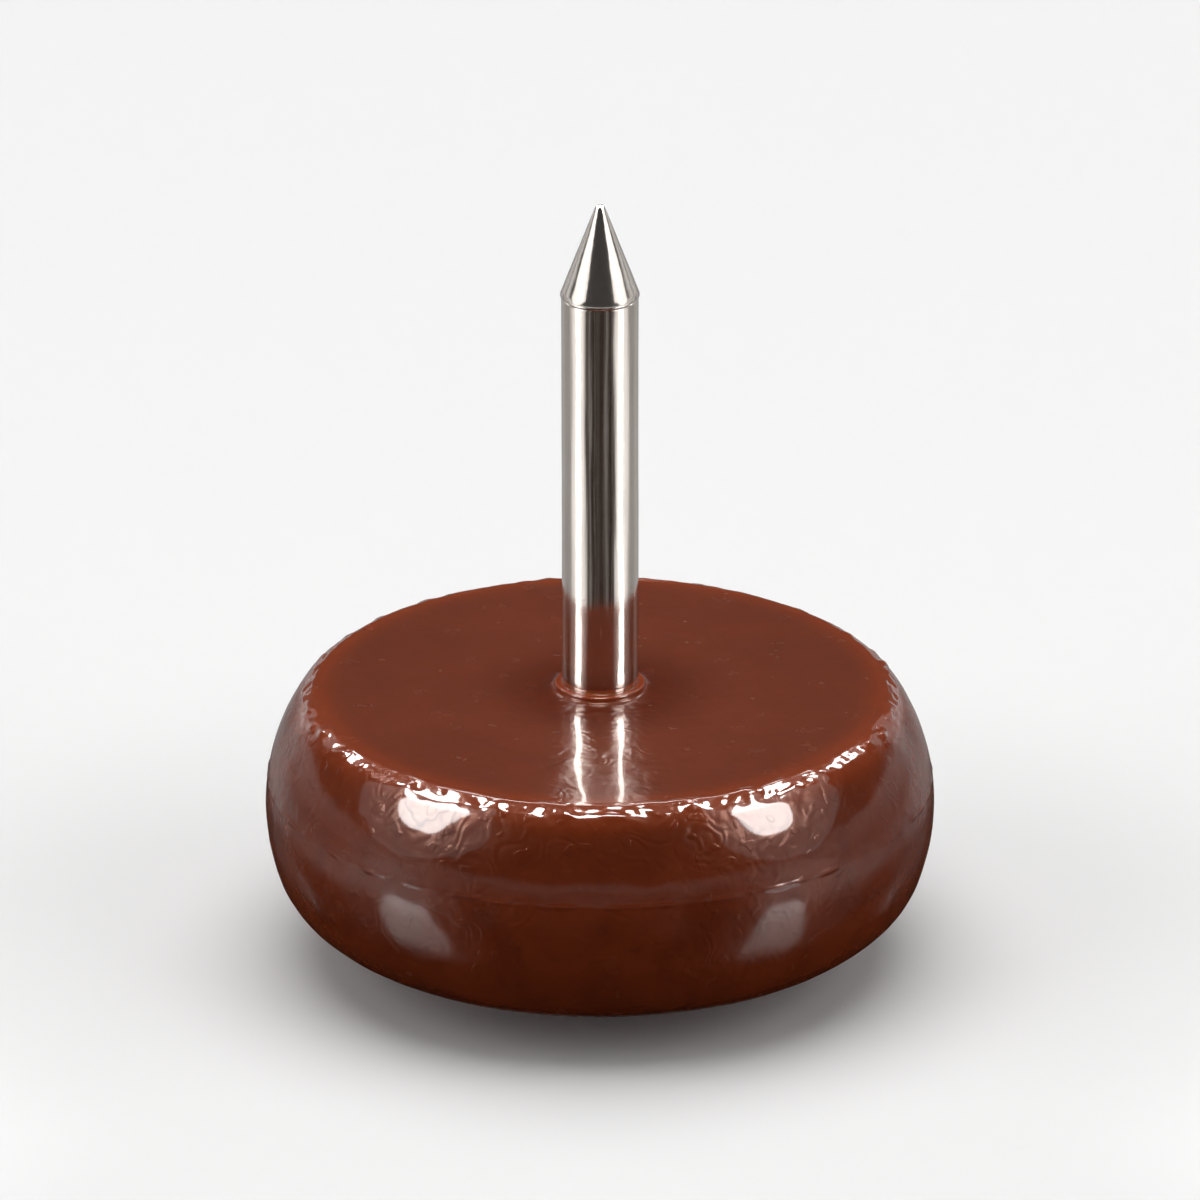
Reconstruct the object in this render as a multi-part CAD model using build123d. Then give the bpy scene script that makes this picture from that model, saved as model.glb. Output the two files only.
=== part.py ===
from build123d import *
import math
import os

# Nail-on furniture glide: a steel nail moulded into a domed plastic head.
# Millimetres. The origin is the point of the dome that touches the floor,
# and the nail points up along +Z. Both pieces are turned from their half
# section in the XZ plane.

# Head, the plastic moulding
HEAD_DIAMETER = 22.0        # widest circle, across the flanks
FLANK_RADIUS = 6.3          # curve of the flank in section
FLANK_RISE = 3.7            # from the widest circle up to the corner of the rim
FLANK_DROP = 20.0           # degrees of flank below the widest circle
SHOULDER_RADIUS = 2.55      # tight curve that joins the flank to the dome
DOME_DEPTH = 5.2            # from the widest circle down to the floor
BEVEL_WIDTH = 0.3           # narrow bevel round the flat back
BEVEL_HEIGHT = 0.25

# Witness line where the mould parts, a low ridge round the flank
PARTING_RISE = 1.0          # above the widest circle
PARTING_WIDTH = 0.2
PARTING_PROUD = 0.04

# Collar, the lip of plastic that rises round the nail
COLLAR_HEIGHT = 0.3         # above the flat back
LIP_WALL = 0.2
LIP_BEVEL = 0.06            # both edges of the lip's top
COLLAR_FLARE = 0.6          # curved foot of the collar, measured outwards
MOUTH_GAP = 0.1             # open ring between the nail and the lip
MOUTH_DEPTH = 0.3

# Nail
NAIL_DIAMETER = 2.5
NAIL_REACH = 17.0           # from the flat back to the tip
POINT_LENGTH = 3.1
TIP_RADIUS = 0.18
NAIL_HEAD_DIAMETER = 6.2
NAIL_HEAD_THICKNESS = 1.1
NAIL_HEAD_EDGE = 0.25       # bevel of both edges
WEAR_LAYER = 2.4            # plastic between the nail's head and the floor

# Grip grooves rolled into the wire, which the plastic fills up to the mouth
GRIP_GROOVES = 6
GROOVE_WIDTH = 0.7
GROOVE_DEPTH = 0.2

# Heights above the floor
back_level = DOME_DEPTH + FLANK_RISE + BEVEL_HEIGHT
lip_level = back_level + COLLAR_HEIGHT
mouth_level = lip_level - MOUTH_DEPTH
shank_level = WEAR_LAYER + NAIL_HEAD_THICKNESS
tip_level = back_level + NAIL_REACH
point_level = tip_level - POINT_LENGTH

# Radii from the nail's axis
nail_radius = NAIL_DIAMETER / 2
mouth_radius = nail_radius + MOUTH_GAP
lip_radius = mouth_radius + LIP_WALL
flank_centre = HEAD_DIAMETER / 2 - FLANK_RADIUS


def flank_point(rise, proud=0.0):
    """Point of the flank at a height above the widest circle."""
    slope = math.asin(rise / FLANK_RADIUS)
    reach = FLANK_RADIUS + proud
    return (flank_centre + reach * math.cos(slope), DOME_DEPTH + reach * math.sin(slope))


def dome_join():
    """Point where the shoulder runs tangent into the dome.

    The dome is the arc that touches the floor on the nail's axis and is
    tangent to the shoulder, so its radius follows from the other sizes.
    """
    drop = math.radians(FLANK_DROP)
    inset = FLANK_RADIUS - SHOULDER_RADIUS
    centre_x = flank_centre + inset * math.cos(drop)
    centre_z = DOME_DEPTH - inset * math.sin(drop)
    spare = centre_x**2 + centre_z**2 - SHOULDER_RADIUS**2
    dome_radius = spare / (2 * (centre_z - SHOULDER_RADIUS))
    scale = dome_radius / (dome_radius - SHOULDER_RADIUS)
    return (centre_x * scale, dome_radius + (centre_z - dome_radius) * scale)


def head_section():
    """Half section of the plastic head, from the axis out and back."""
    shoulder_start = flank_point(-FLANK_RADIUS * math.sin(math.radians(FLANK_DROP)))
    ridge_low = flank_point(PARTING_RISE - PARTING_WIDTH / 2)
    ridge_top = flank_point(PARTING_RISE, PARTING_PROUD)
    ridge_high = flank_point(PARTING_RISE + PARTING_WIDTH / 2)
    rim = flank_point(FLANK_RISE)
    edge_level = lip_level - LIP_BEVEL

    dome = TangentArc((0, 0), dome_join(), tangent=(1, 0))
    shoulder = TangentArc(dome @ 1, shoulder_start, tangent=dome % 1)
    return [
        dome,
        shoulder,
        ThreePointArc(shoulder_start, flank_point(0), ridge_low),
        Polyline(ridge_low, ridge_top, ridge_high),
        ThreePointArc(ridge_high, flank_point((PARTING_RISE + FLANK_RISE) / 2), rim),
        Polyline(rim, (rim[0] - BEVEL_WIDTH, back_level), (lip_radius + COLLAR_FLARE, back_level)),
        TangentArc(
            (lip_radius + COLLAR_FLARE, back_level), (lip_radius, edge_level), tangent=(-1, 0)
        ),
        Polyline(
            (lip_radius, edge_level),
            (lip_radius - LIP_BEVEL, lip_level),
            (mouth_radius + LIP_BEVEL, lip_level),
            (mouth_radius, edge_level),
            (mouth_radius, mouth_level),
            (0, mouth_level),
            (0, 0),
        ),
    ]


def grip_points():
    """Side of the shank from the nail's head to the lip, notched by the grooves."""
    pitch = (lip_level - shank_level) / GRIP_GROOVES
    points = []
    for groove in range(GRIP_GROOVES):
        top = shank_level + pitch * (groove + 1)
        points.append((nail_radius, top - GROOVE_WIDTH))
        points.append((nail_radius - GROOVE_DEPTH, top - GROOVE_WIDTH / 2))
        points.append((nail_radius, top))
    return points


def nail_section():
    """Half section of the nail: its flat head, the shank and the point."""
    head_radius = NAIL_HEAD_DIAMETER / 2
    edge = min(NAIL_HEAD_EDGE, 0.45 * NAIL_HEAD_THICKNESS)
    # The cone runs tangent into the rounded tip.
    tip_centre = tip_level - TIP_RADIUS
    lean = math.atan2(point_level - tip_centre, nail_radius)
    spread = math.acos(TIP_RADIUS / math.hypot(nail_radius, point_level - tip_centre))
    touch = (
        TIP_RADIUS * math.cos(lean + spread),
        tip_centre + TIP_RADIUS * math.sin(lean + spread),
    )
    tip_slope = (touch[0] - nail_radius, touch[1] - point_level)
    return [
        Polyline(
            (0, WEAR_LAYER),
            (head_radius - edge, WEAR_LAYER),
            (head_radius, WEAR_LAYER + edge),
            (head_radius, shank_level - edge),
            (head_radius - edge, shank_level),
            (nail_radius, shank_level),
            *grip_points(),
            (nail_radius, point_level),
            touch,
        ),
        TangentArc(touch, (0, tip_level), tangent=tip_slope),
        Line((0, tip_level), (0, WEAR_LAYER)),
    ]


def turned(section):
    """Solid of revolution of a half section about the nail's axis."""
    return revolve(Plane.XZ * make_face(section), axis=Axis.Z)


nail = turned(nail_section())
glide_head = turned(head_section()) - nail

os.makedirs("parts", exist_ok=True)
for node, solid in {"glide_head": glide_head, "nail": nail}.items():
    solid.label = node
    export_step(solid, f"parts/{node}.step")
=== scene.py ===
import logging
import math
from dataclasses import dataclass, field
from enum import Enum
from typing import Callable, Optional, Union

import bpy
import numpy as np
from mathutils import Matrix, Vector, noise


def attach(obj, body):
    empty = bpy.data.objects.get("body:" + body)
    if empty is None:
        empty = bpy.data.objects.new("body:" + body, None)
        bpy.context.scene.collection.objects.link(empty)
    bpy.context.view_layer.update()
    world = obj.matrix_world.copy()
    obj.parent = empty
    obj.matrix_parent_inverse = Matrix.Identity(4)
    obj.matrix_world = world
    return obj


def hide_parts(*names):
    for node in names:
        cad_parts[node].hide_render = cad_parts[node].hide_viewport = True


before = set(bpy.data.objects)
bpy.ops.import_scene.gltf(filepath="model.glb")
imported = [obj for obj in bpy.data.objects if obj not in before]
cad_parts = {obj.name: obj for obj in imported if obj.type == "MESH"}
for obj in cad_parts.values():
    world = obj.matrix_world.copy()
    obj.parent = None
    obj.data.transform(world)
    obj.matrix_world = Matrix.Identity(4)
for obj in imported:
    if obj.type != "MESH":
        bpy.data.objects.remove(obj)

# Nail-on furniture glide: a brown moulded head around a bright steel nail.
# The classes hold sizes in millimetres, and the meshes are made in metres. The nail's
# axis is Z. "Reach" is a distance from it, and "level" a height above the floor.

MM = 0.001
LOG = logging.getLogger("furniture_glide")

Colour = tuple[float, float, float]
Span = tuple[float, float]
Feed = Union["Signal", float, int, tuple]
Relief = Callable[[float, float, Vector], float]


class Axis(Enum):
    """The axes of a point, as a shader names them."""

    X = "X"
    Y = "Y"
    Z = "Z"


class Ray(Enum):
    """The rays that see the floor as pale as it is."""

    CAMERA = "Is Camera Ray"
    GLOSSY = "Is Glossy Ray"
    TRANSMISSION = "Is Transmission Ray"


class LampPart(Enum):
    """The two parts of a soft lamp."""

    CLOTH = "cloth"
    CORE = "core"


class Signal:
    """An output of a shader node that sums can be written with."""

    def __init__(self, bench: "Bench", socket: Optional[bpy.types.NodeSocket]) -> None:
        """Wraps a socket.

        Args:
            bench: The bench that the socket's node is on.
            socket: The output socket, or None for a node that has no outputs.
        """
        self.bench = bench
        self.socket = socket

    def _math(self, operation: str, first: Feed, second: Feed = 0.0) -> "Signal":
        """Adds a Math node.

        Args:
            operation: The Math node's operation.
            first: The first value.
            second: The second value.

        Returns:
            The node's result.
        """
        return self.bench.node("ShaderNodeMath", {"operation": operation}, {0: first, 1: second})

    def __add__(self, other: Feed) -> "Signal":
        """The sum of both."""
        return self._math("ADD", self, other)

    def __radd__(self, other: Feed) -> "Signal":
        """The sum of both, the number first."""
        return self._math("ADD", other, self)

    def __sub__(self, other: Feed) -> "Signal":
        """This less the other."""
        return self._math("SUBTRACT", self, other)

    def __rsub__(self, other: Feed) -> "Signal":
        """The other less this."""
        return self._math("SUBTRACT", other, self)

    def __mul__(self, other: Feed) -> "Signal":
        """The product of both."""
        return self._math("MULTIPLY", self, other)

    def __rmul__(self, other: Feed) -> "Signal":
        """The product of both, the number first."""
        return self._math("MULTIPLY", other, self)

    def __abs__(self) -> "Signal":
        """The value without its sign."""
        return self._math("ABSOLUTE", self)

    def band(self, low: float, high: float) -> "Signal":
        """Eases from 0 at low to 1 at high.

        Args:
            low: Where the result is 0.
            high: Where the result is 1. It may be less than low.

        Returns:
            The eased share.
        """
        return self.bench.node(
            "ShaderNodeMapRange",
            {"interpolation_type": "SMOOTHSTEP"},
            {"Value": self, "From Min": low, "From Max": high},
        )


@dataclass(frozen=True)
class Grain:
    """A noise in a finish: its size in millimetres, its finer layers and its swirl."""

    size: float
    layers: float = 2.0
    swirl: float = 0.0


@dataclass(frozen=True)
class Spot:
    """The point of the surface, its distance from the axis and its height, in millimetres."""

    point: Signal
    reach: Signal
    level: Signal


class Bench:
    """Where the nodes of one material or world are put together."""

    def __init__(self, owner: Union[bpy.types.Material, bpy.types.World]) -> None:
        """Clears the owner's nodes.

        Args:
            owner: The material or world.
        """
        owner.use_nodes = True
        self.tree = owner.node_tree
        self.tree.nodes.clear()

    def node(
        self,
        kind: str,
        settings: Optional[dict] = None,
        sockets: Optional[dict] = None,
        output: Union[int, str] = 0,
    ) -> Signal:
        """Adds a node.

        Args:
            kind: The node's type.
            settings: Its settings, which are set first. "stops" is a ramp's stops.
            sockets: The values or signals of its input sockets.
            output: The output that is returned.

        Returns:
            The chosen output.
        """
        made = self.tree.nodes.new(kind)
        for name, value in (settings or {}).items():
            if name == "stops":
                self._set_stops(made.color_ramp, value)
            else:
                setattr(made, name, value)
        for key, value in (sockets or {}).items():
            if isinstance(value, Signal):
                self.tree.links.new(value.socket, made.inputs[key])
            else:
                made.inputs[key].default_value = value
        return Signal(self, made.outputs[output] if made.outputs else None)

    @staticmethod
    def _set_stops(ramp: bpy.types.ColorRamp, stops: list[tuple[float, Colour]]) -> None:
        """Sets a ramp's two stops, with an eased change between them.

        Args:
            ramp: The ramp.
            stops: Each stop's place and colour.
        """
        ramp.interpolation = "EASE"
        for element, (place, colour) in zip(ramp.elements, stops):
            element.position = place
            element.color = (*colour, 1.0)

    def place_mm(self) -> Signal:
        """The point of the surface in the object's frame, in millimetres."""
        scale = {0: self.node("ShaderNodeTexCoord", output="Object"), "Scale": 1 / MM}
        return self.node("ShaderNodeVectorMath", {"operation": "SCALE"}, scale)

    def spot(self) -> Spot:
        """Measures the point of the surface.

        Returns:
            The point, its distance from the axis and its height.
        """
        point = self.place_mm()
        flat = self.stretched(point, (1.0, 1.0, 0.0))
        reach = self.node("ShaderNodeVectorMath", {"operation": "LENGTH"}, {0: flat}, "Value")
        return Spot(point, reach, self.along(point, Axis.Z))

    def along(self, point: Signal, axis: Axis) -> Signal:
        """A point's coordinate along an axis."""
        return self.node("ShaderNodeSeparateXYZ", sockets={0: point}, output=axis.value)

    def stretched(self, point: Signal, factors: tuple[float, float, float]) -> Signal:
        """Scales a point along each axis.

        Args:
            point: The point.
            factors: The scale along X, Y and Z.

        Returns:
            The scaled point.
        """
        return self.node(
            "ShaderNodeVectorMath", {"operation": "MULTIPLY"}, {0: point, 1: factors}
        )

    def noise(self, point: Signal, grain: Grain) -> Signal:
        """Adds a noise.

        Args:
            point: Where it is read, in millimetres.
            grain: Its grain.

        Returns:
            The noise, from 0 to 1.
        """
        return self.node(
            "ShaderNodeTexNoise",
            sockets={
                "Vector": point,
                "Scale": 1 / grain.size,
                "Detail": grain.layers,
                "Distortion": grain.swirl,
            },
        )

    def mixed(self, share: Feed, below: Feed, above: Feed) -> Signal:
        """Mixes two colours.

        Args:
            share: How much of the second shows.
            below: The first colour.
            above: The second colour.

        Returns:
            The mixed colour.
        """
        colours = [(*c, 1.0) if isinstance(c, tuple) else c for c in (below, above)]
        return self.node(
            "ShaderNodeMix",
            {"data_type": "RGBA"},
            {0: share, 6: colours[0], 7: colours[1]},
            output=2,
        )

    def mixed_shaders(self, share: Signal, below: Signal, above: Signal) -> Signal:
        """Mixes two shaders.

        Args:
            share: How much of the second shows.
            below: The first shader.
            above: The second shader.

        Returns:
            The mixed shader.
        """
        return self.node("ShaderNodeMixShader", sockets={0: share, 1: below, 2: above})

    def bumped(self, height: Signal) -> Signal:
        """The normal, bumped by a height in millimetres."""
        return self.node("ShaderNodeBump", sockets={"Height": height, "Distance": MM})

    def finish_surface(self, sockets: dict) -> None:
        """Adds the surface shader and the output.

        Args:
            sockets: The values or signals of the shader's sockets.
        """
        surface = self.node("ShaderNodeBsdfPrincipled", sockets=sockets)
        self.node("ShaderNodeOutputMaterial", sockets={"Surface": surface})


@dataclass(frozen=True)
class MouldedPlastic:
    """Semi-gloss brown plastic that lets some light through where it is thin.

    A span holds where a share eases from 0 to 1: a distance in millimetres, or a noise.
    """

    # Places on the head
    back_level: float = 9.15
    rim_reach: float = 9.65
    rim_level: float = 9.05
    foot_level: float = 1.0

    # Colours, and how much of each shows
    body: Colour = (0.152, 0.0240, 0.0058)
    # The deeper brown below is that of the mottle's patches, and of the painted shade round the
    # nail.
    deep_tone_and_shade: Colour = (0.078, 0.0120, 0.0035)
    # The greyer brown below is mixed onto the flat back as a painted sheen.
    painted_back_sheen: Colour = (0.150, 0.0350, 0.0165)
    # The orange brown below is a painted glow of light through the thin rim, lip and foot.
    edge: Colour = (0.290, 0.0450, 0.0080)
    mottle: Grain = Grain(2.6, 3.0, 0.8)
    mottle_span: Span = (0.35, 0.70)
    mottle_share: float = 0.5
    back_sheen_share: float = 0.65
    # Painted shade: the back darkens towards the nail.
    painted_nail_shade: Span = (4.6, 1.6)
    nail_shade_drop: float = 1.0
    nail_shade_share: float = 0.85
    # Painted glow along the rim, on the lip and round the foot.
    rim_wander: Grain = Grain(0.8)
    rim_wander_width: float = 0.25
    rim_across: Span = (1.3, 0.0)
    rim_along: Span = (0.9, 0.0)
    rim_glow_share: float = 0.6
    lip: Span = (2.0, 1.5)
    lip_rise: float = 0.25
    lip_glow_share: float = 0.5
    foot: Span = (0.9, 0.2)
    foot_glow_share: float = 0.35

    # Depth of the plastic and its gloss
    ior: float = 1.36
    sheen: float = 0.16
    sheen_tint: Colour = (1.0, 0.58, 0.44)
    soak: float = 0.15
    soak_depth: float = 0.7
    soak_spread: Colour = (1.0, 0.28, 0.10)
    dulling: Grain = Grain(0.9, 3.0)
    roughness: float = 0.18
    roughness_spread: float = 0.14

    # Polish of the skin
    polish: float = 0.52
    polish_roughness: float = 0.06
    polish_ior: float = 1.4
    back_below: Span = (0.14, 0.08)
    back_dulling: float = 0.20
    collar_outside: Span = (2.7, 2.3)
    collar_inside: Span = (1.46, 1.52)
    collar_dulling: float = 0.24
    bevel_across: Span = (0.55, 0.30)
    bevel_along: Span = (0.45, 0.25)
    bevel_polish: float = 0.48

    # Relief of the skin
    rings: Grain = Grain(0.95, 0.0, 0.4)
    ring_turns: float = 30.0
    ring_height: float = 0.0038
    ring_patches: Grain = Grain(2.2, 1.0)
    ring_patch_span: Span = (0.28, 0.54)
    ring_share_on_back: float = 0.45
    waves: Grain = Grain(0.85, 1.0, 1.2)
    wave_height: float = 0.033
    dots: Grain = Grain(0.42, 0.0)
    dot_span: Span = (0.62, 0.74)
    dot_height: float = 0.011
    specks: Grain = Grain(0.30, 2.0, 0.8)
    speck_height: float = 0.0035
    flank_from: float = 0.02
    flank_to: float = -0.25

    def make(self, name: str) -> bpy.types.Material:
        """Makes the material.

        Args:
            name: Its name.

        Returns:
            The material.
        """
        material = bpy.data.materials.new(name)
        bench = Bench(material)
        spot = bench.spot()
        dulling = bench.noise(spot.point, self.dulling) * self.roughness_spread
        bench.finish_surface(
            {
                "Base Color": self._colour(bench, spot),
                "Roughness": dulling + self.roughness,
                "IOR": self.ior,
                "Specular IOR Level": self.sheen,
                "Specular Tint": (*self.sheen_tint, 1.0),
                "Subsurface Weight": self.soak,
                "Subsurface Radius": self.soak_spread,
                "Subsurface Scale": self.soak_depth * MM,
                "Coat Weight": self._polish(spot),
                "Coat Roughness": self.polish_roughness,
                "Coat IOR": self.polish_ior,
                "Normal": bench.bumped(self._height(bench, spot)),
            }
        )
        return material

    def _on_back(self, spot: Spot) -> Signal:
        """The flat back's share."""
        low, high = self.back_below
        return spot.level.band(self.back_level - low, self.back_level - high)

    def _colour(self, bench: Bench, spot: Spot) -> Signal:
        """Mottled brown with painted light: sheen on the back, shade by the nail, glow on rim, lip
        and foot.

        Args:
            bench: Where the nodes go.
            spot: The point of the surface.

        Returns:
            The colour.
        """
        patch = tuple(b + (d - b) * self.mottle_share for b, d in zip(self.body, self.deep_tone_and_shade))
        brown = bench.node(
            "ShaderNodeValToRGB",
            {"stops": list(zip(self.mottle_span, (self.body, patch)))},
            {"Fac": bench.noise(spot.point, self.mottle)},
        )
        # Painted sheen: the flat back turns a greyer brown.
        brown = bench.mixed(self._on_back(spot) * self.back_sheen_share, brown, self.painted_back_sheen)
        # Painted shade: the back turns a deeper brown towards the nail.
        top = spot.level.band(self.back_level - self.nail_shade_drop, self.back_level)
        painted_nail_shade = spot.reach.band(*self.painted_nail_shade) * top
        brown = bench.mixed(painted_nail_shade * self.nail_shade_share, brown, self.deep_tone_and_shade)
        # Painted glow: the rim turns orange brown.
        wander = (bench.noise(spot.point, self.rim_wander) - 0.5) * self.rim_wander_width
        across = abs(spot.reach - self.rim_reach + wander).band(*self.rim_across)
        along = abs(spot.level - self.rim_level).band(*self.rim_along)
        brown = bench.mixed(across * along * self.rim_glow_share, brown, self.edge)
        # Painted glow on the lip.
        lip = spot.reach.band(*self.lip)
        lip = lip * spot.level.band(self.back_level, self.back_level + self.lip_rise)
        brown = bench.mixed(lip * self.lip_glow_share, brown, self.edge)
        # Painted glow round the foot.
        foot = abs(spot.level - self.foot_level).band(*self.foot)
        return bench.mixed(foot * self.foot_glow_share, brown, self.edge)

    def _polish(self, spot: Spot) -> Signal:
        """Polish of the skin: less on the back and the collar's foot, more on the bevel.

        Args:
            spot: The point of the surface.

        Returns:
            The weight of the polish.
        """
        back = self._on_back(spot)
        collar = spot.reach.band(*self.collar_outside) * spot.reach.band(*self.collar_inside)
        across = abs(spot.reach - self.rim_reach).band(*self.bevel_across)
        along = abs(spot.level - self.rim_level).band(*self.bevel_along)
        return (
            self.polish
            - back * self.back_dulling
            - back * collar * self.collar_dulling
            + across * along * self.bevel_polish
        )

    def _height(self, bench: Bench, spot: Spot) -> Signal:
        """Skin of the moulding: contour rings, waves and specks, and dots on the flank.

        Args:
            bench: Where the nodes go.
            spot: The point of the surface.

        Returns:
            The height, in millimetres.
        """
        flank = spot.level.band(self.back_level + self.flank_from, self.back_level + self.flank_to)
        slow = bench.noise(spot.point, self.rings) * self.ring_turns
        rings = bench.node("ShaderNodeMath", {"operation": "SINE"}, {0: slow})
        on_back = self.ring_share_on_back
        patches = bench.noise(spot.point, self.ring_patches).band(*self.ring_patch_span)
        strength = patches * (flank * (1 - on_back) + on_back)
        dots = bench.noise(spot.point, self.dots).band(*self.dot_span) * flank
        return (
            rings * strength * self.ring_height
            + bench.noise(spot.point, self.waves) * self.wave_height
            + dots * self.dot_height
            + bench.noise(spot.point, self.specks) * self.speck_height
        )


@dataclass(frozen=True)
class NickelSteel:
    """Bright plated wire with fine drawing marks along it."""

    colour: Colour = (0.660, 0.605, 0.555)
    stain: Colour = (0.400, 0.330, 0.280)
    drawn: Grain = Grain(0.16, 3.0)
    drawn_stretch: float = 0.035
    drawn_height: float = 0.0050
    drawn_roughness: float = 0.08
    cloud: Grain = Grain(1.4, 3.0)
    cloud_stretch: float = 0.3
    cloud_span: Span = (0.5, 0.8)
    cloud_share: float = 0.45
    cloud_height: float = 0.004
    cloud_roughness: float = 0.10
    pits: Grain = Grain(0.12, 1.0)
    pit_span: Span = (0.70, 0.80)
    pit_share: float = 0.2
    pit_depth: float = 0.0008
    roughness: float = 0.02

    def make(self, name: str) -> bpy.types.Material:
        """Makes the material.

        Args:
            name: Its name.

        Returns:
            The material.
        """
        material = bpy.data.materials.new(name)
        bench = Bench(material)
        point = bench.place_mm()
        drawn = bench.noise(bench.stretched(point, (1.0, 1.0, self.drawn_stretch)), self.drawn)
        cloud = bench.noise(bench.stretched(point, (1.0, 1.0, self.cloud_stretch)), self.cloud)
        pits = bench.noise(point, self.pits).band(*self.pit_span)
        marks = cloud.band(*self.cloud_span) * self.cloud_share + pits * self.pit_share
        haze = cloud * self.cloud_roughness + drawn * self.drawn_roughness
        height = drawn * self.drawn_height - pits * self.pit_depth + cloud * self.cloud_height
        bench.finish_surface(
            {
                "Base Color": bench.mixed(marks, self.colour, self.stain),
                "Metallic": 1.0,
                "Roughness": haze + self.roughness,
                "Normal": bench.bumped(height),
            }
        )
        return material


@dataclass(frozen=True)
class PaleFloor:
    """The plain pale floor, almost matt.

    The camera and the reflections see its pale colour, and the light that it throws
    back onto the object is that of a darker grey.
    """

    pale: Colour = (0.94, 0.94, 0.94)
    thrown: Colour = (0.20, 0.20, 0.20)
    roughness: float = 0.35
    gloss: float = 0.15

    def make(self, name: str) -> bpy.types.Material:
        """Makes the material.

        Args:
            name: Its name.

        Returns:
            The material.
        """
        material = bpy.data.materials.new(name)
        bench = Bench(material)
        seen = sum(bench.node("ShaderNodeLightPath", output=ray.value) for ray in Ray)
        bench.finish_surface(
            {
                "Base Color": bench.mixed(seen, self.thrown, self.pale),
                "Roughness": self.roughness,
                "Specular IOR Level": self.gloss,
            }
        )
        return material


@dataclass(frozen=True)
class DarkCard:
    """Dark card that gives metal and gloss their dark parts, clear with a varnish elsewhere.

    A span holds where a share eases from 0 to 1: radians round from the front, or
    millimetres from the axis.
    """

    colour: Colour = (0.032, 0.017, 0.011)
    front: Span = (0.95, 0.66)
    behind: Span = (1.45, 1.75)
    behind_share: float = 0.55
    streaks: Grain = Grain(0.22)
    streak_span: Span = (0.42, 0.72)
    streak_share: float = 0.30
    close: Span = (26.0, 19.0)
    near: Span = (6.5, 8.5)
    polished: Span = (13.0, 16.0)
    polish_roughness: float = 0.15
    polish_ior: float = 1.5
    varnish_roughness: float = 0.07
    varnish_ior: float = 1.45

    def make(self, name: str) -> bpy.types.Material:
        """Makes the material.

        Args:
            name: Its name.

        Returns:
            The material.
        """
        material = bpy.data.materials.new(name)
        bench = Bench(material)
        spot = bench.spot()
        polished = spot.reach.band(*self.polished)
        mix = bench.mixed_shaders(
            self._share(bench, spot), self._varnish(bench, polished), self._dark(bench, polished)
        )
        bench.node("ShaderNodeOutputMaterial", sockets={"Surface": mix})
        return material

    def _share(self, bench: Bench, spot: Spot) -> Signal:
        """Where the card is dark: close to the object, in front of it and behind it.

        Args:
            bench: Where the nodes go.
            spot: The point of the card.

        Returns:
            The dark's share.
        """
        side = bench.along(spot.point, Axis.X)
        forward = bench.along(spot.point, Axis.Y) * -1.0
        turn = bench.node("ShaderNodeMath", {"operation": "ARCTAN2"}, {0: side, 1: forward})
        fan = bench.node("ShaderNodeCombineXYZ", sockets={"X": turn})
        streaks = bench.noise(fan, self.streaks).band(*self.streak_span) * self.streak_share
        share = abs(turn).band(*self.front) * (1.0 - streaks)
        share = share + abs(turn).band(*self.behind) * self.behind_share
        close = spot.reach.band(*self.close)
        return (close + share * (1.0 - close)) * spot.reach.band(*self.near)

    def _dark(self, bench: Bench, polished: Signal) -> Signal:
        """The dark card itself, matt close to the object and polished farther off.

        Args:
            bench: Where the nodes go.
            polished: The polish's share.

        Returns:
            The shader.
        """
        colour = (*self.colour, 1.0)
        matt = bench.node("ShaderNodeBsdfDiffuse", sockets={"Color": colour})
        glossy = bench.node(
            "ShaderNodeBsdfPrincipled",
            sockets={
                "Base Color": colour,
                "Roughness": self.polish_roughness,
                "IOR": self.polish_ior,
            },
        )
        return bench.mixed_shaders(polished, matt, glossy)

    def _varnish(self, bench: Bench, polished: Signal) -> Signal:
        """The clear parts, with a varnish that mirrors at a low angle.

        Args:
            bench: Where the nodes go.
            polished: The polish's share.

        Returns:
            The shader.
        """
        clear = bench.node("ShaderNodeBsdfTransparent")
        shine = bench.node(
            "ShaderNodeBsdfGlossy",
            sockets={"Color": (1.0, 1.0, 1.0, 1.0), "Roughness": self.varnish_roughness},
        )
        angle = bench.node("ShaderNodeFresnel", sockets={"IOR": self.varnish_ior})
        return bench.mixed_shaders(angle * polished, clear, shine)


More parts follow.
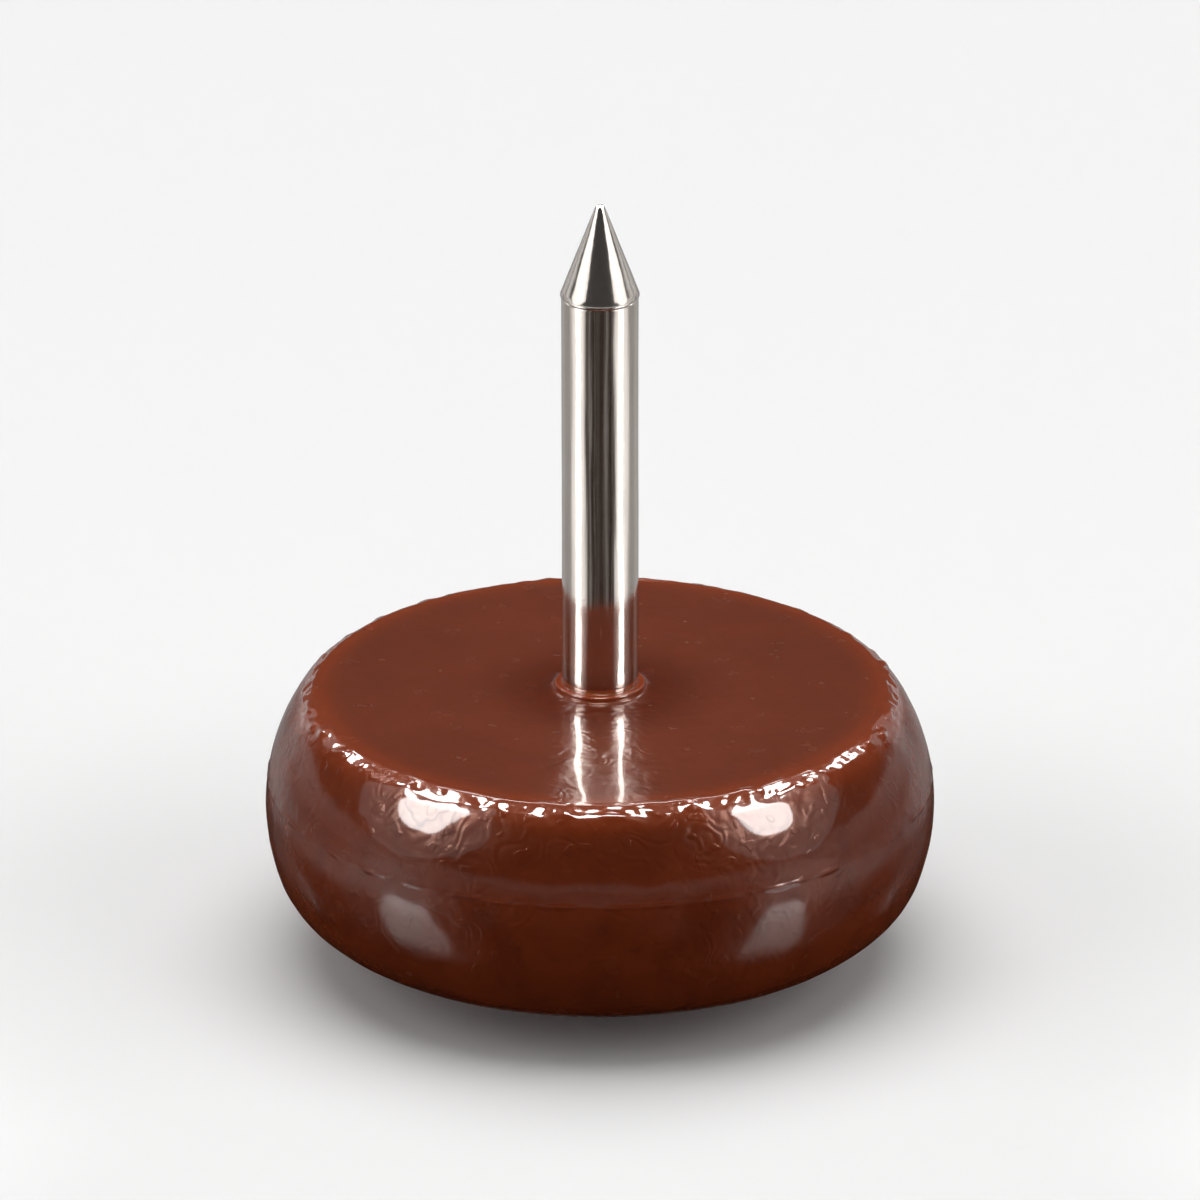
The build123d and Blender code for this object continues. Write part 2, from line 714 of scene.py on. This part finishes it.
class Outline:
    """Half section of a turned piece, built up point by point in millimetres."""

    # Points nearer to each other than this are one point.
    SAME_POINT = 1e-6
    # Where a rounded corner has its points, as shares of the way round it.
    ROUNDING = (0.2, 0.4, 0.6, 0.8, 1.0)

    def __init__(self, reach: float, level: float) -> None:
        """Starts the outline.

        Args:
            reach: The first point's distance from the axis.
            level: Its height.
        """
        self.points: list[tuple[float, float]] = [(reach, level)]

    def line(self, reach: float, level: float, step: float) -> None:
        """Adds a straight stretch.

        Args:
            reach: The end's distance from the axis.
            level: The end's height.
            step: The longest edge.
        """
        r0, z0 = self.points[-1]
        count = max(1, math.ceil(math.hypot(reach - r0, level - z0) / step))
        for i in range(1, count + 1):
            share = i / count
            self.points.append((r0 + (reach - r0) * share, z0 + (level - z0) * share))

    def arc(
        self, centre: tuple[float, float], radius: float, start: float, end: float, step: float
    ) -> None:
        """Adds an arc, after its own first point.

        Args:
            centre: Its centre.
            radius: Its radius.
            start: The angle where it starts, in radians from straight out.
            end: The angle where it ends.
            step: The longest edge.
        """
        count = max(2, math.ceil(radius * abs(end - start) / step))
        for i in range(count + 1):
            angle = start + (end - start) * i / count
            spot = (centre[0] + radius * math.cos(angle), centre[1] + radius * math.sin(angle))
            if math.dist(spot, self.points[-1]) > self.SAME_POINT:
                self.points.append(spot)

    def flare(self, inward: float, rise: float, count: int) -> None:
        """Adds a quarter of an ellipse that leaves level and ends upright.

        Args:
            inward: How far it comes in.
            rise: How far it rises.
            count: How many edges it has.
        """
        reach, level = self.points[-1]
        for turn in np.linspace(0, math.pi / 2, count + 1)[1:]:
            self.points.append(
                (reach - inward * math.sin(turn), level + rise * (1 - math.cos(turn)))
            )

    def rounded(self, reach: float, level: float, step: float, radius: float) -> None:
        """Adds a straight stretch whose start is rounded into the stretch before it.

        Args:
            reach: The end's distance from the axis.
            level: The end's height.
            step: The longest edge of the stretch.
            radius: How far from the corner the rounding starts.
        """
        corner = np.array(self.points[-1])
        self.points = [p for p in self.points if math.dist(p, corner) > radius]
        before = np.array(self.points[-1])
        toward = np.array((reach, level)) - corner
        after = corner + toward * radius / np.linalg.norm(toward)
        for share in self.ROUNDING:
            bend = (1 - share) ** 2 * before + 2 * share * (1 - share) * corner + share**2 * after
            self.points.append((float(bend[0]), float(bend[1])))
        self.line(reach, level, step)


@dataclass(frozen=True)
class Lathe:
    """Turns an outline that starts and ends on the axis into a closed mesh."""

    segments: int

    def turn(self, name: str, outline: Outline, relief: Relief) -> bpy.types.Object:
        """Makes the turned piece.

        Args:
            name: The piece's name.
            outline: Its half section. The first and the last point are on the axis.
            relief: How far a point stands out from the section, in millimetres, from its
                distance to the axis, its height and its place.

        Returns:
            The piece, in metres.
        """
        section = np.array(outline.points)
        inner = section[1:-1]
        along = section[2:] - section[:-2]
        outward = np.stack([along[:, 1], -along[:, 0]], axis=1)
        outward /= np.linalg.norm(outward, axis=1, keepdims=True)
        turns = np.arange(self.segments) * 2 * math.pi / self.segments
        vertices = [Vector((0, 0, section[0][1] * MM))]
        for (reach, level), (out_reach, out_level) in zip(inner, outward):
            for turn in turns:
                side = Vector((math.cos(turn), math.sin(turn), 0))
                place = side * reach + Vector((0, 0, level))
                proud = relief(reach, level, place)
                place += (side * out_reach + Vector((0, 0, out_level))) * proud
                vertices.append(place * MM)
        vertices.append(Vector((0, 0, section[-1][1] * MM)))
        mesh = bpy.data.meshes.new(name)
        mesh.from_pydata(vertices, [], self._faces(len(inner)))
        mesh.validate()
        mesh.shade_smooth()
        piece = bpy.data.objects.new(name, mesh)
        bpy.context.scene.collection.objects.link(piece)
        return piece

    def _faces(self, rows: int) -> list[tuple[int, ...]]:
        """The faces between the rows and at both ends.

        Args:
            rows: How many rows of vertices the piece has between its two ends.

        Returns:
            Each face's vertices, seen from outside.
        """
        count = self.segments
        last = rows * count + 1
        faces: list[tuple[int, ...]] = []
        for i in range(count):
            j = (i + 1) % count
            faces.append((0, 1 + j, 1 + i))
            faces.append((last, last - count + i, last - count + j))
            for row in range(rows - 1):
                low = 1 + row * count
                high = low + count
                faces.append((low + i, low + j, high + j, high + i))
        return faces


@dataclass(frozen=True)
class Unevenness:
    """A noise in a mesh: its fineness per millimetre, its height there and its shift."""

    fineness: float
    height: float
    shift: tuple[float, float, float] = (0.0, 0.0, 0.0)

    def at(self, place: Vector) -> float:
        """Its height at a place, in millimetres."""
        return noise.noise(place * self.fineness + Vector(self.shift)) * self.height


def fade(distance: float, reach: float) -> float:
    """Eases from 1 at no distance to 0 at the given reach.

    Args:
        distance: The distance, with or without its sign.
        reach: Where the result gets to 0.

    Returns:
        The eased share.
    """
    share = max(0.0, 1.0 - abs(distance) / reach)
    return share * share * (3 - 2 * share)


@dataclass
class PlasticHead:
    """The moulded head: dome, shoulder, flank, bevel, flat back and collar."""

    finish: MouldedPlastic = field(default_factory=MouldedPlastic)
    segments: int = 576

    # Section of the head
    diameter: float = 22.0
    flank_radius: float = 6.3
    flank_rise: float = 3.7
    flank_drop: float = 20.0
    shoulder_radius: float = 2.55
    dome_depth: float = 5.2
    bevel_width: float = 0.3
    bevel_height: float = 0.25
    bevel_rounding: float = 0.08
    back_rounding: float = 0.10
    parting_rise: float = 1.0

    # Collar round the nail
    collar_height: float = 0.3
    collar_flare: float = 0.6
    collar_edges: int = 11
    lip_wall: float = 0.236
    lip_round: float = 0.09
    creep: float = 0.05
    mouth_gap: float = 0.004
    mouth_depth: float = 0.10

    # Seat of the nail
    nail_radius: float = 1.25
    wear_layer: float = 2.4
    nail_head_radius: float = 3.1
    nail_head_thickness: float = 1.1
    seat_margin: float = 0.1
    seat_play: float = 0.02

    # Longest edges of the section
    dome_step: float = 0.45
    flank_step: float = 0.2
    fine_step: float = 0.06
    bevel_step: float = 0.05
    roll_step: float = 0.13
    back_step: float = 0.4
    lip_step: float = 0.03
    creep_step: float = 0.02
    mouth_step: float = 0.08

    # How far the section is fine: each side of the parting line, below the rim, on the back
    fine_by_parting: float = 0.25
    fine_by_rim: float = 0.45
    fine_on_back: float = 0.42

    # Unevenness of the moulding
    swell: Unevenness = Unevenness(0.45, 0.016)
    small_swell: Unevenness = Unevenness(1.3, 0.010)
    widest_sink: float = 0.018
    widest_sink_reach: float = 2.5
    sole_sink: float = 0.008
    sole_sink_reach: float = 1.0
    bevel_middle_drop: float = 0.12
    rim_lump_spread: float = 0.42
    rim_lumps: Unevenness = Unevenness(1.35, 0.15, (5, 1, 8))
    rim_lump_floor: float = 0.003
    rim_nicks: Unevenness = Unevenness(3.2, 0.026, (2, 7, 4))
    rim_waver: Unevenness = Unevenness(0.9, 0.02)
    bead: Unevenness = Unevenness(1.6, 0.03, (4, 4, 9))
    bead_height: float = 0.03
    bead_inset: float = 0.16
    bead_width: float = 0.2
    bead_below: float = 0.1
    roll_width: float = 1.3
    roll_depth: float = 0.055
    roll_fade: float = 0.6
    parting_wander: Unevenness = Unevenness(0.8, 0.03, (3, 9, 1))
    parting_ridge: Unevenness = Unevenness(1.3, 0.075, (11, 2, 6))
    parting_height: float = 0.012
    parting_least: float = 0.004
    parting_width: float = 0.12

    @property
    def back_level(self) -> float:
        """Height of the flat back."""
        return self.dome_depth + self.flank_rise + self.bevel_height

    @property
    def rim_reach(self) -> float:
        """Distance from the axis to the corner between flank and bevel."""
        half = math.sqrt(self.flank_radius**2 - self.flank_rise**2)
        return self.diameter / 2 - self.flank_radius + half

    @property
    def seat_top(self) -> float:
        """Height of the top of the nail's buried head."""
        return self.wear_layer + self.nail_head_thickness

    def outline(self) -> Outline:
        """Draws the half section from the floor out, up, in and round the nail's seat.

        Returns:
            The half section.
        """
        line = Outline(0, 0)
        self._add_flank(line)
        bevel_reach = self.rim_reach - self.bevel_width
        line.rounded(bevel_reach, self.back_level, self.bevel_step, self.bevel_rounding)
        line.rounded(
            bevel_reach - self.fine_on_back, self.back_level, self.fine_step, self.back_rounding
        )
        line.line(self.rim_reach - self.roll_width, self.back_level, self.roll_step)
        self._add_collar(line)
        self._add_seat(line)
        return line

    def _add_flank(self, line: Outline) -> None:
        """Adds the dome, the shoulder and the flank, each tangent to the next.

        Args:
            line: The outline so far.
        """
        flank_x = self.diameter / 2 - self.flank_radius
        drop = math.radians(self.flank_drop)
        inset = self.flank_radius - self.shoulder_radius
        shoulder = (flank_x + inset * math.cos(drop), self.dome_depth - inset * math.sin(drop))
        spare = shoulder[0] ** 2 + shoulder[1] ** 2 - self.shoulder_radius**2
        dome_radius = spare / (2 * (shoulder[1] - self.shoulder_radius))
        join = math.atan2(shoulder[1] - dome_radius, shoulder[0])
        line.arc((0, dome_radius), dome_radius, -math.pi / 2, join, self.dome_step)
        line.arc(shoulder, self.shoulder_radius, join, -drop, self.flank_step)
        parting = math.asin(self.parting_rise / self.flank_radius)
        by_parting = self.fine_by_parting / self.flank_radius
        rim = math.asin(self.flank_rise / self.flank_radius)
        by_rim = self.fine_by_rim / self.flank_radius
        start = -drop
        for end, step in (
            (parting - by_parting, self.flank_step),
            (parting + by_parting, self.fine_step),
            (rim - by_rim, self.flank_step),
            (rim, self.fine_step),
        ):
            line.arc((flank_x, self.dome_depth), self.flank_radius, start, end, step)
            start = end

    def _add_collar(self, line: Outline) -> None:
        """Adds the collar: its flared foot, its round lip and the plastic up the nail.

        Args:
            line: The outline so far.
        """
        mouth = self.nail_radius + self.mouth_gap
        lip_reach = mouth + self.lip_wall
        lip_level = self.back_level + self.collar_height
        line.line(lip_reach + self.collar_flare, self.back_level, self.back_step)
        line.flare(self.collar_flare, self.collar_height - self.lip_round, self.collar_edges)
        lip_centre = (lip_reach - self.lip_round, lip_level - self.lip_round)
        line.arc(lip_centre, self.lip_round, 0, math.pi / 2, self.lip_step)
        creep_centre = (mouth + self.creep, lip_level + self.creep)
        line.arc(creep_centre, self.creep, -math.pi / 2, -math.pi, self.creep_step)
        line.line(mouth, lip_level - self.mouth_depth, self.mouth_step)

    def _add_seat(self, line: Outline) -> None:
        """Adds the seat of the buried part of the nail, down to the axis.

        Args:
            line: The outline so far.
        """
        line.line(self.nail_radius, self.back_level, 1.0)
        line.line(self.nail_radius, self.seat_top, 1.2)
        line.line(self.nail_head_radius, self.seat_top, 1.0)
        line.line(self.nail_head_radius, self.wear_layer, 1.0)
        line.line(0, self.wear_layer, 1.1)

    def relief(self, reach: float, level: float, place: Vector) -> float:
        """How far the real skin stands out from the section.

        Args:
            reach: The distance from the axis, in millimetres.
            level: The height, in millimetres.
            place: The point, in millimetres.

        Returns:
            The height of the relief, in millimetres.
        """
        if self._in_seat(reach, level):
            return 0.0
        swell = self.swell.at(place) + self.small_swell.at(place)
        swell -= fade(level - self.dome_depth, self.widest_sink_reach) * self.widest_sink
        swell -= fade(level, self.sole_sink_reach) * self.sole_sink
        return swell + self._rim_relief(reach, level, place) + self._parting(reach, level, place)

    def _rim_relief(self, reach: float, level: float, place: Vector) -> float:
        """Lumps and nicks of the rim, the bead inside the bevel and the roll of the back.

        Args:
            reach: The distance from the axis, in millimetres.
            level: The height, in millimetres.
            place: The point, in millimetres.

        Returns:
            The height of the relief, in millimetres.
        """
        swell = 0.0
        bevel_middle = (
            self.rim_reach - self.bevel_width / 2,
            self.back_level - self.bevel_middle_drop,
        )
        near_rim = fade(math.dist((reach, level), bevel_middle), self.rim_lump_spread)
        if near_rim > 0:
            lumps = max(0.0, self.rim_lumps.at(place) - self.rim_lump_floor)
            swell += near_rim * (lumps + self.rim_nicks.at(place) + self.rim_waver.at(place))
        bevel_reach = self.rim_reach - self.bevel_width
        if level > self.back_level - self.bead_below:
            bead = self.bead.at(place) + self.bead_height
            swell += fade(reach - bevel_reach + self.bead_inset, self.bead_width) * bead
        if level > self.back_level - self.roll_fade:
            roll = 1 - (bevel_reach - reach) / (self.roll_width - self.bevel_width)
            roll = min(1.0, max(0.0, roll))
            swell -= self.roll_depth * roll**2 * fade(self.back_level - level, self.roll_fade)
        return swell

    def _parting(self, reach: float, level: float, place: Vector) -> float:
        """The uneven ridge where the mould parts.

        Args:
            reach: The distance from the axis, in millimetres.
            level: The height, in millimetres.
            place: The point, in millimetres.

        Returns:
            The height of the ridge, in millimetres.
        """
        if reach <= self.rim_reach:
            return 0.0
        away = level - self.dome_depth - self.parting_rise - self.parting_wander.at(place)
        height = max(self.parting_least, self.parting_ridge.at(place) + self.parting_height)
        return fade(away, self.parting_width) * height

    def _in_seat(self, reach: float, level: float) -> bool:
        """Whether a point lies in the buried seat, which has no relief.

        Args:
            reach: The distance from the axis, in millimetres.
            level: The height, in millimetres.

        Returns:
            True for a point of the seat.
        """
        by_head = level < self.seat_top + self.seat_margin
        widest = self.nail_head_radius if by_head else self.nail_radius
        return level > self.wear_layer - self.seat_margin and reach < widest + self.seat_play

    def build(self) -> bpy.types.Object:
        """Makes the head, dresses it and sets it on the frame.

        Returns:
            The head.
        """
        piece = Lathe(self.segments).turn("moulded_head", self.outline(), self.relief)
        piece.data.materials.append(self.finish.make("moulded_brown_plastic"))
        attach(piece, "root")
        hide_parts("glide_head")
        return piece


@dataclass
class SteelNail:
    """The nail: buried head, grip grooves, bare shank and turned point."""

    finish: NickelSteel = field(default_factory=NickelSteel)
    segments: int = 160
    radius: float = 1.25
    tip_level: float = 26.15
    point_length: float = 3.1
    tip_radius: float = 0.18
    burr: float = 0.035
    burr_top: float = 0.028
    burr_below: float = 0.02
    burr_above: float = 0.03
    fine_below_point: float = 0.35
    smooth_below_burr: float = 0.12
    cone_step: float = 0.16
    tip_step: float = 0.04
    head_radius: float = 3.1
    head_level: float = 2.4
    head_thickness: float = 1.1
    head_edge: float = 0.25
    lip_level: float = 9.45
    grooves: int = 6
    groove_width: float = 0.7
    groove_depth: float = 0.2
    drawn_stretch: float = 0.12
    drawn: Unevenness = Unevenness(0.9, 0.013)
    fine_drawn: Unevenness = Unevenness(2.6, 0.007)
    dents: Unevenness = Unevenness(0.8, 0.003)

    def outline(self) -> Outline:
        """Draws the half section from the nail's head up to its tip.

        Returns:
            The half section.
        """
        shank = self.head_level + self.head_thickness
        point = self.tip_level - self.point_length
        line = Outline(0, self.head_level)
        line.line(self.head_radius - self.head_edge, self.head_level, 1.0)
        line.line(self.head_radius, self.head_level + self.head_edge, 0.2)
        line.line(self.head_radius, shank - self.head_edge, 0.6)
        line.line(self.head_radius - self.head_edge, shank, 0.2)
        line.line(self.radius, shank, 0.9)
        pitch = (self.lip_level - shank) / self.grooves
        for groove in range(self.grooves):
            top = shank + pitch * (groove + 1)
            line.line(self.radius, top - self.groove_width, 0.5)
            line.line(self.radius - self.groove_depth, top - self.groove_width / 2, 0.2)
            line.line(self.radius, top, 0.2)
        # The bare shank is straight, so its rows are far apart up to the point.
        line.line(self.radius, point - self.fine_below_point, 0.35)
        line.line(self.radius, point - self.smooth_below_burr, 0.05)
        self._add_point(line, point)
        return line

    def _add_point(self, line: Outline, point: float) -> None:
        """Adds the cone with its raised lower edge and its rounded tip.

        Args:
            line: The outline so far.
            point: The height where the cone starts.
        """
        centre = self.tip_level - self.tip_radius
        lean = math.atan2(point - centre, self.radius)
        spread = math.acos(self.tip_radius / math.hypot(self.radius, point - centre))
        touch = lean + spread
        line.line(self.radius + self.burr, point - self.burr_below, self.tip_step)
        line.line(self.radius + self.burr_top, point + self.burr_above, self.tip_step)
        cone_end = (self.tip_radius * math.cos(touch), centre + self.tip_radius * math.sin(touch))
        line.line(*cone_end, self.cone_step)
        line.arc((0, centre), self.tip_radius, touch, math.pi / 2, self.tip_step)
        line.points[-1] = (0.0, self.tip_level)

    def relief(self, reach: float, level: float, place: Vector) -> float:
        """How far the drawn wire stands out from the section.

        Args:
            reach: The distance from the axis, in millimetres.
            level: The height, in millimetres.
            place: The point, in millimetres.

        Returns:
            The height of the relief, in millimetres.
        """
        if level < self.lip_level:
            return 0.0
        along = Vector((place.x, place.y, place.z * self.drawn_stretch))
        marks = self.drawn.at(along) + self.fine_drawn.at(along) + self.dents.at(place)
        return marks * min(1.0, reach / self.radius)

    def build(self) -> bpy.types.Object:
        """Makes the nail, dresses it and sets it on the frame.

        Returns:
            The nail.
        """
        piece = Lathe(self.segments).turn("steel_nail", self.outline(), self.relief)
        piece.data.materials.append(self.finish.make("bright_nickel_steel"))
        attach(piece, "root")
        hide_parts("nail")
        return piece


@dataclass(frozen=True)
class Glow:
    """A lit ellipse: where it stands, in degrees, its size in metres and its brightness.

    The azimuth is counted round from the camera, and the elevation from the target. The
    brightness is that of the lit face, so a larger one gives more light.
    """

    azimuth: float
    elevation: float
    width: float
    height: float
    brightness: float


@dataclass(frozen=True)
class Softbox:
    """A soft lamp: a hot middle that only gloss shows, and often a cloth that lights.

    Both stand at the same distance from the target, in metres. Gloss shows the cloth
    too where the lamp is mirrored.
    """

    name: str
    core: Glow
    cloth: Optional[Glow] = None
    mirrored: bool = True
    distance: float = 0.75

    def build(self, target: Vector) -> None:
        """Makes the lamp.

        Args:
            target: The point that it faces, in metres.
        """
        if self.cloth:
            self._add(LampPart.CLOTH, self.cloth, target).visible_glossy = self.mirrored
        self._add(LampPart.CORE, self.core, target).visible_diffuse = False

    def _add(self, part: LampPart, glow: Glow, target: Vector) -> bpy.types.Object:
        """Adds one lit ellipse.

        Args:
            part: Which part of the lamp it is.
            glow: The ellipse.
            target: The point that it faces, in metres.

        Returns:
            The lamp.
        """
        lamp = bpy.data.lights.new(f"{self.name}_{part.value}", "AREA")
        lamp.shape = "ELLIPSE"
        lamp.size, lamp.size_y = glow.width, glow.height
        lamp.energy = glow.brightness * math.pi * glow.width * glow.height
        turn, rise = math.radians(glow.azimuth), math.radians(glow.elevation)
        toward = Vector(
            (math.sin(turn) * math.cos(rise), -math.cos(turn) * math.cos(rise), math.sin(rise))
        )
        stand = bpy.data.objects.new(lamp.name, lamp)
        stand.location = target + toward * self.distance
        stand.rotation_euler = toward.to_track_quat("Z", "Y").to_euler()
        bpy.context.scene.collection.objects.link(stand)
        return stand


# Each lamp's hot middle comes first, and then its cloth.
LAMPS = (
    Softbox("left_softbox", Glow(-69, 33, 0.30, 0.42, 34), Glow(-72, 28, 0.72, 0.72, 1.2)),
    Softbox("right_softbox", Glow(66, 33, 0.27, 0.42, 34), Glow(72, 28, 0.72, 0.72, 1.2)),
    Softbox("left_kicker", Glow(-130, 38, 0.12, 0.16, 30), Glow(-142, 24, 0.28, 0.70, 0.5)),
    Softbox("right_kicker", Glow(130, 38, 0.12, 0.16, 30), Glow(140, 24, 0.28, 0.70, 0.5)),
    Softbox("back_high", Glow(180, 56, 0.60, 0.16, 14)),
    Softbox("left_high", Glow(-100, 58, 0.28, 0.18, 44)),
    Softbox("right_high", Glow(100, 58, 0.28, 0.18, 44)),
    Softbox(
        "top_softbox",
        Glow(0, 77, 0.40, 0.24, 36),
        Glow(180, 84, 0.90, 0.90, 1.9),
        mirrored=False,
    ),
)


@dataclass
class Studio:
    """The pale floor, the soft light and the camera, in millimetres unless said."""

    floor: PaleFloor = field(default_factory=PaleFloor)
    floor_radius: float = 3000.0
    floor_corners: int = 64
    card: DarkCard = field(default_factory=DarkCard)
    card_half: float = 200.0
    card_level: float = 0.05
    lamps: tuple[Softbox, ...] = LAMPS
    room: float = 0.06
    horizon: float = 0.80
    horizon_rise: Span = (0.12, 0.05)
    target_level: float = 12.3
    elevation_degrees: float = 23.0
    distance: float = 400.0
    view_width: float = 39.2
    nearest: float = 10.0
    farthest: float = 20000.0

    def build(self) -> None:
        """Makes the floor, the lamps, the world and the camera."""
        target = Vector((0, 0, self.target_level * MM))
        self._build_floor()
        self._build_card()
        self._build_world()
        for lamp in self.lamps:
            lamp.build(target)
        self._build_camera(target)
        bpy.context.scene.view_settings.view_transform = "Standard"

    def _add_sheet(
        self, name: str, corners: list[tuple[float, float, float]], material: bpy.types.Material
    ) -> bpy.types.Object:
        """Adds one flat face of the studio.

        Args:
            name: Its name.
            corners: Its corners, in millimetres.
            material: Its material.

        Returns:
            The sheet.
        """
        mesh = bpy.data.meshes.new(name)
        mesh.from_pydata([Vector(corner) * MM for corner in corners], [], [range(len(corners))])
        mesh.materials.append(material)
        sheet = bpy.data.objects.new(name, mesh)
        bpy.context.scene.collection.objects.link(sheet)
        return sheet

    def _build_floor(self) -> None:
        """Makes the pale floor, a disc whose edge is far outside every view."""
        turns = [i * 2 * math.pi / self.floor_corners for i in range(self.floor_corners)]
        radius = self.floor_radius
        corners = [(radius * math.cos(turn), radius * math.sin(turn), 0) for turn in turns]
        self._add_sheet("pale_floor", corners, self.floor.make("pale_floor"))

    def _build_card(self) -> None:
        """Makes the dark card round the object, which only reflections see."""
        half, level = self.card_half, self.card_level
        corners = [(-half, -half, level), (half, -half, level), (half, half, level)]
        corners.append((-half, half, level))
        card = self._add_sheet("dark_card", corners, self.card.make("dark_card"))
        card.visible_camera = card.visible_diffuse = card.visible_shadow = False

    def _build_world(self) -> None:
        """Makes the room's light, pale along the horizon and dark above it."""
        world = bpy.data.worlds.new("studio")
        bench = Bench(world)
        place = bench.node("ShaderNodeTexCoord", output="Generated")
        low = bench.along(place, Axis.Z).band(*self.horizon_rise)
        glow = bench.mixed(low, (self.room,) * 3, (self.horizon,) * 3)
        light = bench.node("ShaderNodeBackground", sockets={"Color": glow, "Strength": 1.0})
        bench.node("ShaderNodeOutputWorld", sockets={"Surface": light})
        bpy.context.scene.world = world

    def _build_camera(self, target: Vector) -> None:
        """Makes the camera at the height above the floor that the object is seen from.

        Args:
            target: The point that it faces, in metres.
        """
        data = bpy.data.cameras.new("camera")
        data.lens = data.sensor_width * self.distance / self.view_width
        data.clip_start = self.nearest * MM
        data.clip_end = self.farthest * MM
        camera = bpy.data.objects.new("camera", data)
        angle = math.radians(self.elevation_degrees)
        back = Vector((0, -math.cos(angle), math.sin(angle)))
        camera.location = target + back * self.distance * MM
        camera.rotation_euler = back.to_track_quat("Z", "Y").to_euler()
        bpy.context.scene.collection.objects.link(camera)
        bpy.context.scene.camera = camera


def main() -> None:
    """Builds the glide and its studio, and writes how large the result is."""
    logging.basicConfig(level=logging.INFO)
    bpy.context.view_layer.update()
    for maker in (PlasticHead(), SteelNail()):
        piece = maker.build()
        LOG.info("%s: %d faces", piece.name, len(piece.data.polygons))
    Studio().build()


if __name__ == "__main__":
    main()
